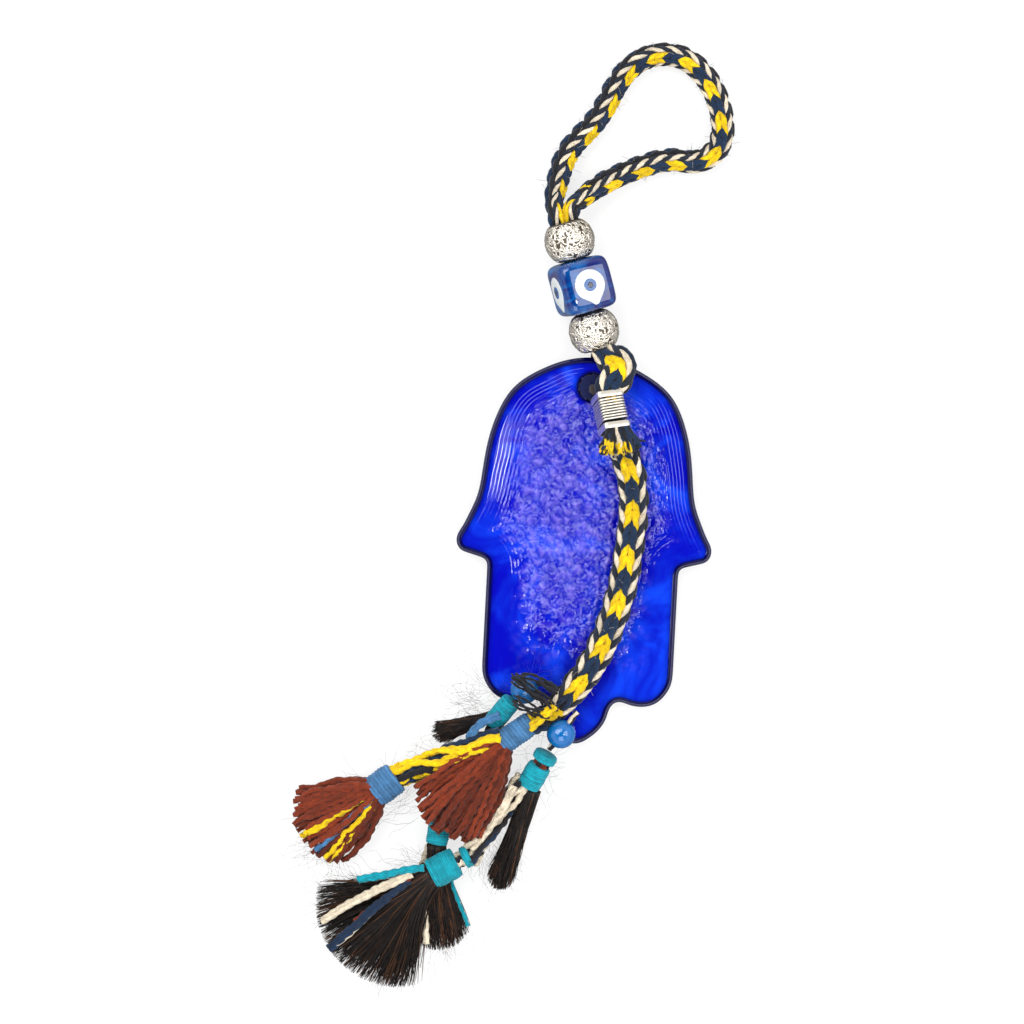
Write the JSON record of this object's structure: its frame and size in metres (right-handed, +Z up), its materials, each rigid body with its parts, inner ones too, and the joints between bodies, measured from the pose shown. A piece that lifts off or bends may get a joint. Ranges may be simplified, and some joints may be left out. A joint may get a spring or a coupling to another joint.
{
  "type": "hanging wall ornament",
  "caption": "Hamsa hand ornament: cobalt glass hand on a braided wool cord with silver beads, an evil-eye cube bead, a wire clamp and wool tassels.",
  "frame": {"origin": "centre of the footprint of all pieces but the loop and the tail braid, on the table", "axes": "+Z up from the table, out of the glass hand's front; +Y towards the hanging loop; +X to the hand's right side in the picture"},
  "size_m": [0.1484, 0.3163, 0.0245],
  "materials": {
    "cobalt_glass": "gloss",
    "silver": "gloss",
    "blue_glass": "gloss",
    "white_glass": "gloss",
    "sky_glass": "gloss",
    "dark_glass": "gloss",
    "braid_wool": "matte",
    "wire": "gloss",
    "dark_wool": "matte",
    "steel_blue_yarn": "matte",
    "red_brown_wool": "matte",
    "yarn_bundle": "matte",
    "turquoise_thread": "satin"
  },
  "bodies": {
    "hand": {"glass_hand": "cobalt_glass"},
    "cord": {"front_cord_leg": "braid_wool", "rear_cord_leg": "braid_wool", "clamp_winding": "wire", "clamp_end_bands": "wire"},
    "upper_bead": {"upper_silver_bead": "silver"},
    "cube": {"cube_bead": "blue_glass", "eye_whites": "white_glass", "eye_irises": "sky_glass", "eye_pupils": "dark_glass"},
    "lower_bead": {"lower_silver_bead": "silver"},
    "loop": {"hanging_loop": "braid_wool"},
    "tail": {"tail_braid": "braid_wool", "cut_end": "braid_wool", "centre_strand": "dark_wool", "left_strand": "dark_wool", "right_strand": "dark_wool", "left_wrap": "turquoise_thread", "left_hair": "dark_wool", "left_link": "dark_wool", "right_top_band": "turquoise_thread", "right_gap_yarns": "dark_wool", "right_wrap": "turquoise_thread", "right_link": "dark_wool"},
    "left_bead": {"left_small_bead": "sky_glass"},
    "right_bead": {"right_small_bead": "sky_glass"},
    "centre_tassel": {"centre_wrap": "steel_blue_yarn", "centre_fringe": "red_brown_wool", "centre_link": "yarn_bundle"},
    "centre_end": {"centre_end_wrap": "steel_blue_yarn", "centre_end_fringe": "red_brown_wool"},
    "right_lock": {"right_hair": "dark_wool"},
    "right_end": {"right_end_band": "turquoise_thread", "right_end_gap_yarns": "dark_wool", "right_end_wrap": "turquoise_thread", "right_end_hair": "dark_wool"},
    "left_end": {"left_end_wrap": "turquoise_thread", "left_end_hair": "dark_wool"}
  },
  "joints": [
    {"name": "cord_swing", "type": "hinge", "parent": "hand", "child": "cord", "pos_m": [0.0304, 0.0725, 0.0065], "axis": [-0.0018, -0.034, 0.9994], "range_deg": [-15, 2]},
    {"name": "lower_bead_spin", "type": "hinge", "parent": "cord", "child": "lower_bead", "pos_m": [0.03093, 0.09119, 0.00915], "axis": [-0.2633, 0.9592, 0.1028], "continuous": true},
    {"name": "cube_bead_spin", "type": "hinge", "parent": "cord", "child": "cube", "pos_m": [0.02685, 0.10606, 0.01075], "axis": [-0.2633, 0.9592, 0.1028], "continuous": true},
    {"name": "upper_bead_spin", "type": "hinge", "parent": "cord", "child": "upper_bead", "pos_m": [0.02277, 0.12093, 0.01234], "axis": [-0.2633, 0.9592, 0.1028], "continuous": true},
    {"name": "loop_lift", "type": "hinge", "parent": "cord", "child": "loop", "pos_m": [0.02051, 0.12913, 0.01322], "axis": [0.9643, 0.2647, 0], "range_deg": [0, 75]},
    {"name": "tail_lift", "type": "hinge", "parent": "cord", "child": "tail", "pos_m": [0.03873, 0.05889, 0.02185], "axis": [-0.9774, -0.2113, 0], "range_deg": [0, 45]},
    {"name": "left_bead_spin", "type": "hinge", "parent": "tail", "child": "left_bead", "pos_m": [0.0079, -0.0279, 0.0104], "axis": [-0.7826, -0.6026, -0.1565], "continuous": true},
    {"name": "right_bead_spin", "type": "hinge", "parent": "tail", "child": "right_bead", "pos_m": [0.02, -0.04275, 0.01005], "axis": [-0.5959, -0.7972, -0.0966], "continuous": true},
    {"name": "centre_tassel_lift", "type": "hinge", "parent": "tail", "child": "centre_tassel", "pos_m": [0.01083, -0.03848, 0.0145], "axis": [-0.5721, 0.8202, 0], "range_deg": [0, 45]},
    {"name": "centre_end_lift", "type": "hinge", "parent": "centre_tassel", "child": "centre_end", "pos_m": [-0.03425, -0.05686, 0.01111], "axis": [-0.592, 0.8059, 0], "range_deg": [0, 45]},
    {"name": "right_hair_swing", "type": "hinge", "parent": "tail", "child": "right_lock", "pos_m": [0.0103, -0.06264, 0.00542], "axis": [0, 0, 1], "range_deg": [0, 20]},
    {"name": "right_end_lift", "type": "hinge", "parent": "tail", "child": "right_end", "pos_m": [-0.00987, -0.08263, 0.01154], "axis": [-0.4478, 0.8942, 0], "range_deg": [0, 40]},
    {"name": "left_end_swing", "type": "hinge", "parent": "tail", "child": "left_end", "pos_m": [-0.01974, -0.07073, 0.00452], "axis": [0, 0, 1], "range_deg": [0, 6]}
  ]
}
